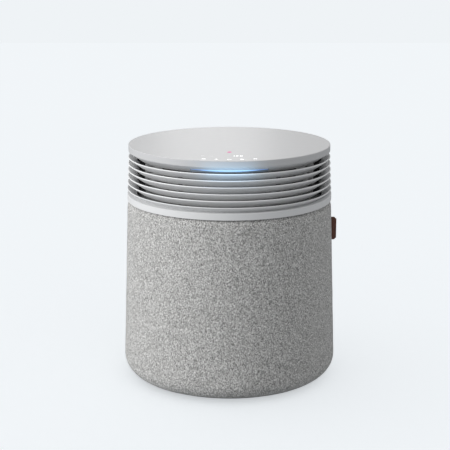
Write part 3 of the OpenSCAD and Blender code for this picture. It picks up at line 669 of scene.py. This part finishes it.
bm = bmesh.new()
bmesh.ops.create_grid(bm, x_segments=90, y_segments=14, size=0.5)
for vert in bm.verts:
    y = vert.co.y * strapWidth
    x = vert.co.x * strapLength * math.sqrt(1 - (2 * y / strapLength) ** 2)
    rolled = strap["rolled"] * (abs(y) > strapWidth / 2 - strap["selvedge"])
    vert.co = (x, y, strapHeight(x) + rolled)
pullStrap = piece("pullStrap", bm, "filter", finishes["strap_web"])
wall = pullStrap.modifiers.new("weave", "SOLIDIFY")
wall.thickness = strap["thickness"]
wall.offset = 0
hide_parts("filter_strap")

bm = bmesh.new()
for end in (-1, 1):
    middle = end * (strapLength / 2 - strap["sewn"])
    for i in range(strap["perRow"]):
        for along in (-1, 1):
            y = (i - (strap["perRow"] - 1) / 2) * (strap["stitch"] + strap["gap"])
            x = middle + along * strap["sewn"] / 3
            place = Matrix.Translation((x, y, strapHeight(x) + strap["thickness"] / 2))
            size = (strap["threadWidth"], strap["stitch"] / 2, strap["threadHeight"])
            bmesh.ops.create_uvsphere(
                bm, u_segments=6, v_segments=4, radius=1, matrix=place @ Matrix.Diagonal((*size, 1)))
strapStitches = piece("strapStitches", bm, "filter", seamThread)


print("lit marks")
# the digits' places and the marks' sizes are in the pen's own millimetres
panel = dict(keyRadius=145 * mm, keyPitch=19.2 * mm, keySize=0.82, stroke=0.9 * mm, rise=0.06 * mm,
             digitX=5.7, digitY=-117, digitPitch=6.1, digitSize=1.15, digitStroke=1.2 * mm,
             faintStroke=0.7 * mm, statusRadius=3.4 * mm)
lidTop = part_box("lid")[1].z


def markArc(radius, start=0, end=360, centre=(0, 0), count=28):
    return arc(centre, radius, start, end, count)


# each mark is a few pen strokes in millimetres
powerMark = [markArc(3.1, 120, 420), [(0, 1.2), (0, 4.0)]]
fanMark = [markArc(1.0)] + [
    [(1.3 * math.cos(a), 1.3 * math.sin(a)), (2.6 * math.cos(a + 0.5), 2.6 * math.sin(a + 0.5)),
     (3.7 * math.cos(a), 3.7 * math.sin(a))] for a in (math.radians(90 + 120 * i) for i in range(3))]
autoMark = [markArc(3.3, 60, 200), markArc(3.3, 240, 380), [(-0.2, 0), (0.2, 0)]]
moonMark = [markArc(3.3, 60, 330) + markArc(2.6, 290, 100, centre=(1.4, 1.2), count=14)]
lockMark = [[(-2.6, -2.9), (2.6, -2.9), (2.6, 0.6), (-2.6, 0.6), (-2.6, -2.9)],
            markArc(1.7, 0, 180, centre=(0, 0.7))]
segments = {"1": [[(1.3, -2.6), (1.3, 2.6)]],
            "2": [[(-1.2, 2.6), (1.2, 2.6), (1.2, 0), (-1.2, 0), (-1.2, -2.6), (1.2, -2.6)]],
            "0": [[(-1.2, 2.6), (1.2, 2.6), (1.2, -2.6), (-1.2, -2.6), (-1.2, 2.6)]]}


def penMarks(name, marks, material, width):
    # marks are (strokes, place in mm from the axis, turn, size)
    bm = bmesh.new()
    for strokes, (x, y), turn, size in marks:
        for line in strokes:
            curve = bpy.data.curves.new(name + "Pen", "CURVE")
            curve.dimensions = "3D"
            curve.bevel_depth = width / 2
            curve.bevel_resolution = 2
            curve.use_fill_caps = True
            spline = curve.splines.new("POLY")
            spline.points.add(len(line) - 1)
            for point, (px, py) in zip(spline.points, line):
                point.co = (px * mm * size, py * mm * size, 0, 1)
            pen = bpy.data.objects.new(name + "Pen", curve)
            scene.collection.objects.link(pen)
            mesh = bpy.data.meshes.new_from_object(pen.evaluated_get(bpy.context.evaluated_depsgraph_get()))
            place = Matrix.Translation((x * mm, y * mm, lidTop)) @ Matrix.Rotation(math.radians(turn), 4, "Z")
            mesh.transform(place @ Matrix.Diagonal((1, 1, 2 * panel["rise"] / width, 1)))
            bm.from_mesh(mesh)
            bpy.data.objects.remove(pen)
            bpy.data.curves.remove(curve)
            bpy.data.meshes.remove(mesh)
    piece(name, bm, "head", material)


marks = []
keyStep = math.degrees(panel["keyPitch"] / panel["keyRadius"])
for i, strokes in enumerate((powerMark, fanMark, autoMark, moonMark, lockMark)):
    turn = -90 + (i - 2) * keyStep
    place = (panel["keyRadius"] / mm * math.cos(math.radians(turn)),
             panel["keyRadius"] / mm * math.sin(math.radians(turn)))
    marks.append((strokes, place, turn + 90, panel["keySize"]))
penMarks("keyMarks", marks, iconWhite, panel["stroke"])
digits = [(segments[d], (panel["digitX"] + panel["digitPitch"] * i, panel["digitY"]), 0, panel["digitSize"])
          for i, d in enumerate("120")]
penMarks("displayDigits", digits, iconWhite, panel["digitStroke"])
faint = [([[(-2, -1.5), (-2, 0)], [(0, -1.5), (0, 1)], [(2, -1.5), (2, 2)]], (-27, -119), 0, 1.0),
         ([markArc(1.8)], (-40, -116), 0, 1.0),
         ([[(-3, 0), (-1, 0)], [(1, 0), (3, 0)]], (32, -118), 0, 1.0)]
penMarks("faintMarks", faint, iconFaint, panel["faintStroke"])

# the status light's colour spreads a little through the lid's skin
lensLow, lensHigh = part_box("status_lens")
lensMiddle = ((lensLow.x + lensHigh.x) / 2, (lensLow.y + lensHigh.y) / 2, lidTop + panel["rise"])
bm = bmesh.new()
bmesh.ops.create_circle(
    bm, cap_ends=True, segments=40, radius=panel["statusRadius"], matrix=Matrix.Translation(lensMiddle))
piece("statusGlow", bm, "head", finishes["lens_pink"], smooth=False)


print("floor and light")
floor = dict(tone=tone(240, 244, 247), halfSize=6, glow=0.58, dark=0.84, light=0.85)
bm = bmesh.new()
bmesh.ops.create_grid(bm, x_segments=1, y_segments=1, size=floor["halfSize"])
mesh = bpy.data.meshes.new("studioFloor")
bm.to_mesh(mesh)
bm.free()
studioFloor = bpy.data.objects.new("studioFloor", mesh)
scene.collection.objects.link(studioFloor)
f = Finish("floorPaint")
f.shader.inputs["Emission Strength"].default_value = floor["glow"]
f.shader.inputs["Specular IOR Level"].default_value = 0.0
mesh.materials.append(f.paint(
    baseColor=f.mix(
        f.noise(3, 2), scaled(floor["tone"], floor["dark"]), scaled(floor["tone"], floor["light"])),
    roughness=0.9,
    emissionColor=floor["tone"]))
# the lamps pass the floor by, and the floor's own glow lights nothing but itself
allButFloor = bpy.data.collections.new("allButFloor")
allButFloor.objects.link(studioFloor)
allButFloor.collection_objects[0].light_linking.link_state = "EXCLUDE"
floorOnly = bpy.data.collections.new("floorOnly")
floorOnly.objects.link(studioFloor)
studioFloor.light_linking.receiver_collection = floorOnly

sky = dict(light=(0.51, 0.511, 0.513), seen=tone(239, 243, 246))
world = bpy.data.worlds.new("studioWorld")
world.use_nodes = True
scene.world = world
w = Finish("studioWorld", world.node_tree)
back = next(n for n in world.node_tree.nodes if n.type == "BACKGROUND")
seen = w.add("ShaderNodeLightPath", out=0)
w.feed(back.inputs["Color"], w.mix(seen, sky["light"], sky["seen"]))
back.inputs["Strength"].default_value = 1.0


def softLight(name, place, aim, size, power, colour=(1, 1, 1)):
    data = bpy.data.lights.new(name, "AREA")
    data.shape = "RECTANGLE"
    data.size, data.size_y = size
    data.energy = power
    data.color = colour
    lamp = bpy.data.objects.new(name, data)
    lamp.location = place
    lamp.rotation_euler = (Vector(aim) - Vector(place)).to_track_quat("-Z", "Y").to_euler()
    lamp.visible_camera = False
    lamp.light_linking.receiver_collection = allButFloor
    scene.collection.objects.link(lamp)
    return lamp


lamps = dict(
    keyLight=dict(place=(-1.85, -0.85, 1.0), aim=(0, 0, 0.2), size=(1.2, 1.4), power=34),
    topLight=dict(place=(-0.1, 0.8, 2.2), aim=(0, 0, 0.3), size=(1.6, 1.6), power=13),
    backLight=dict(place=(-0.06, 2.4, 1.0), aim=(0, 0, 0.38), size=(0.4, 0.5), power=0.9),
    barGlow=dict(place=(0, -0.176, 0.3565), aim=(0, -0.152, 0.366), size=(0.085, 0.006), power=0.008,
                 colour=(0.35, 0.68, 1.0)))
lit = {name: softLight(name, **look) for name, look in lamps.items()}
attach(lit["barGlow"], "head")  # the bar's glow goes up with the bar
